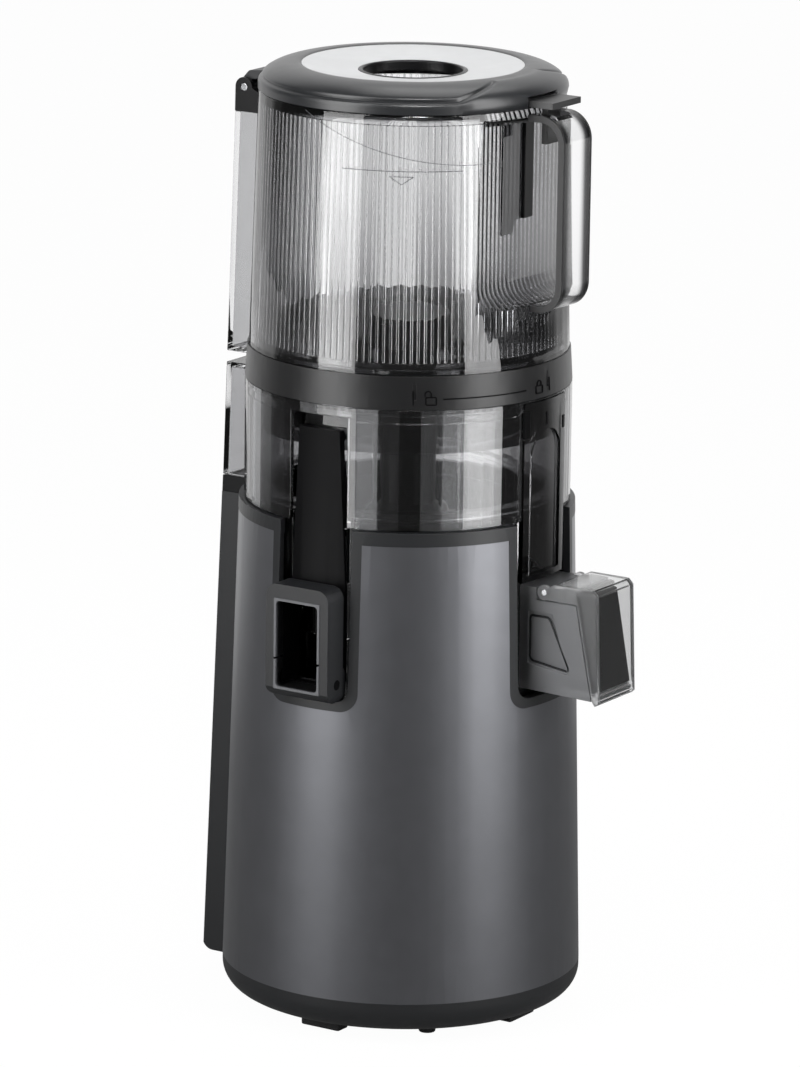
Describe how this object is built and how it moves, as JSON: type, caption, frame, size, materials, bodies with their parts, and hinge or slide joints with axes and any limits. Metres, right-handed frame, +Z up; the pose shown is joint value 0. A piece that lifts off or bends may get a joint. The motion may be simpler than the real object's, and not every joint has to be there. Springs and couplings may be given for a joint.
{
  "type": "cold press juicer",
  "caption": "Free-standing vertical slow juicer: tapered motor base, see-through drum and fluted hopper with handle, hinged lid, juice spout with flip cap, pulp outlet lever.",
  "frame": {"origin": "on the round base's upright axis, at the level its feet stand on", "axes": "+Z up; -Y to the front, where the juice spout, handle and latch are; -X to the pulp outlet; the rear spine and lid hinge are at +Y"},
  "size_m": [0.1815, 0.2218, 0.461],
  "materials": {
    "painted_shell": "metallic dark grey paint, satin",
    "matte_dark": "fine matte",
    "black_plastic": "satin",
    "smoked_plastic": "glossy smoked see-through plastic",
    "dark_smoked": "glossy dark see-through plastic",
    "clear_plastic": "glossy clear plastic",
    "rubber": "matte",
    "silicone": "soft satin",
    "satin_dish": "satin",
    "grey_liner": "satin",
    "auger_plastic": "satin",
    "gear_plastic": "moulded",
    "cast_alloy": "as cast",
    "steel": "turned",
    "copper_winding": "varnished copper",
    "circuit_board": "solder mask"
  },
  "bodies": {
    "base": {"body_shell": "painted_shell", "body_trim": "matte_dark", "drum_well": "black_plastic", "base_cap": "matte_dark", "round_feet": "rubber", "foot_pads": "rubber", "rear_spine": "matte_dark", "spine_cap": "black_plastic", "shaft_seal": "silicone", "gearbox_base": "cast_alloy", "gearbox_plate": "steel", "gearbox_lid": "cast_alloy", "output_bearing": "steel", "motor_can": "cast_alloy", "motor_stator": "copper_winding", "motor_bearings": "steel", "control_board": "circuit_board", "switch_bezel": "black_plastic", "switch_box": "black_plastic", "cord_gland": "black_plastic", "base_screws": "steel", "reed_sensor": "steel"},
    "rotor": {"motor_rotor": "steel", "motor_pinion": "steel", "cooling_fan": "black_plastic"},
    "layshaft": {"layshaft": "steel", "layshaft_gear": "gear_plastic"},
    "output": {"output_gear": "gear_plastic", "drive_shaft": "steel"},
    "rocker": {"power_rocker": "black_plastic"},
    "drum": {"drum_wall": "smoked_plastic", "front_panel": "dark_smoked", "juice_spout": "smoked_plastic", "spout_pin": "steel", "pulp_chute": "black_plastic", "drum_column": "smoked_plastic", "strainer": "smoked_plastic", "drum_seal": "silicone"},
    "spout_cap": {"juice_cap": "clear_plastic", "cap_seal": "silicone"},
    "lever": {"pulp_lever": "matte_dark", "lever_liner": "grey_liner"},
    "auger": {"auger": "auger_plastic", "auger_head": "auger_plastic"},
    "hopper": {"hopper_wall": "smoked_plastic", "hopper_handle": "smoked_plastic", "lock_ring": "matte_dark", "hopper_floor": "smoked_plastic", "hopper_column": "smoked_plastic", "hinge_bracket": "black_plastic", "hinge_pin": "steel", "sensor_bar": "black_plastic", "interlock_magnet": "black_plastic"},
    "lid": {"lid_cover": "matte_dark", "lid_dish": "satin_dish", "lid_collar": "black_plastic", "lid_gasket": "silicone"},
    "latch": {"latch_tab": "matte_dark"}
  },
  "joints": [
    {"name": "rotor_spin", "type": "hinge", "parent": "base", "child": "rotor", "pos_m": [0.02, 0.00661, 0.06], "axis": [0, 0, 1], "continuous": true},
    {"name": "layshaft_spin", "type": "hinge", "parent": "base", "child": "layshaft", "pos_m": [0, 0.04125, 0.13], "axis": [0, 0, 1], "continuous": true},
    {"name": "output_spin", "type": "hinge", "parent": "base", "child": "output", "pos_m": [0, 0, 0.14], "axis": [0, 0, 1], "continuous": true},
    {"name": "auger_spin", "type": "hinge", "parent": "drum", "child": "auger", "pos_m": [0, 0, 0.2], "axis": [0, 0, 1], "continuous": true},
    {"name": "switch_tilt", "type": "hinge", "parent": "base", "child": "rocker", "pos_m": [0, 0.09411, 0.078], "axis": [1, 0, 0], "range_deg": [-8, 8]},
    {"name": "drum_lift", "type": "slide", "parent": "base", "child": "drum", "axis": [0, 0, 1], "range_m": [0, 0.1]},
    {"name": "cap_flip", "type": "hinge", "parent": "drum", "child": "spout_cap", "pos_m": [0, -0.0888, 0.2183], "axis": [-1, 0, 0], "range_deg": [0, 90]},
    {"name": "lever_swing", "type": "hinge", "parent": "drum", "child": "lever", "pos_m": [-0.0858, 0, 0.1767], "axis": [0, -1, 0], "range_deg": [0, 70]},
    {"name": "hopper_turn", "type": "hinge", "parent": "drum", "child": "hopper", "pos_m": [0, 0, 0.317], "axis": [0, 0, 1], "range_deg": [0, 55]},
    {"name": "lid_open", "type": "hinge", "parent": "hopper", "child": "lid", "pos_m": [0, 0.0807, 0.4437], "axis": [-1, 0, 0], "range_deg": [0, 100]},
    {"name": "latch_lift", "type": "hinge", "parent": "lid", "child": "latch", "pos_m": [0, -0.0713, 0.4504], "axis": [-1, 0, 0], "range_deg": [0, 10], "stiffness_Nm_per_rad": 0.05}
  ],
  "couplings": [
    {"joint": "layshaft_spin", "follows": "rotor_spin", "ratio": -0.17647},
    {"joint": "output_spin", "follows": "rotor_spin", "ratio": 0.039216},
    {"joint": "auger_spin", "follows": "rotor_spin", "ratio": 0.039216}
  ]
}
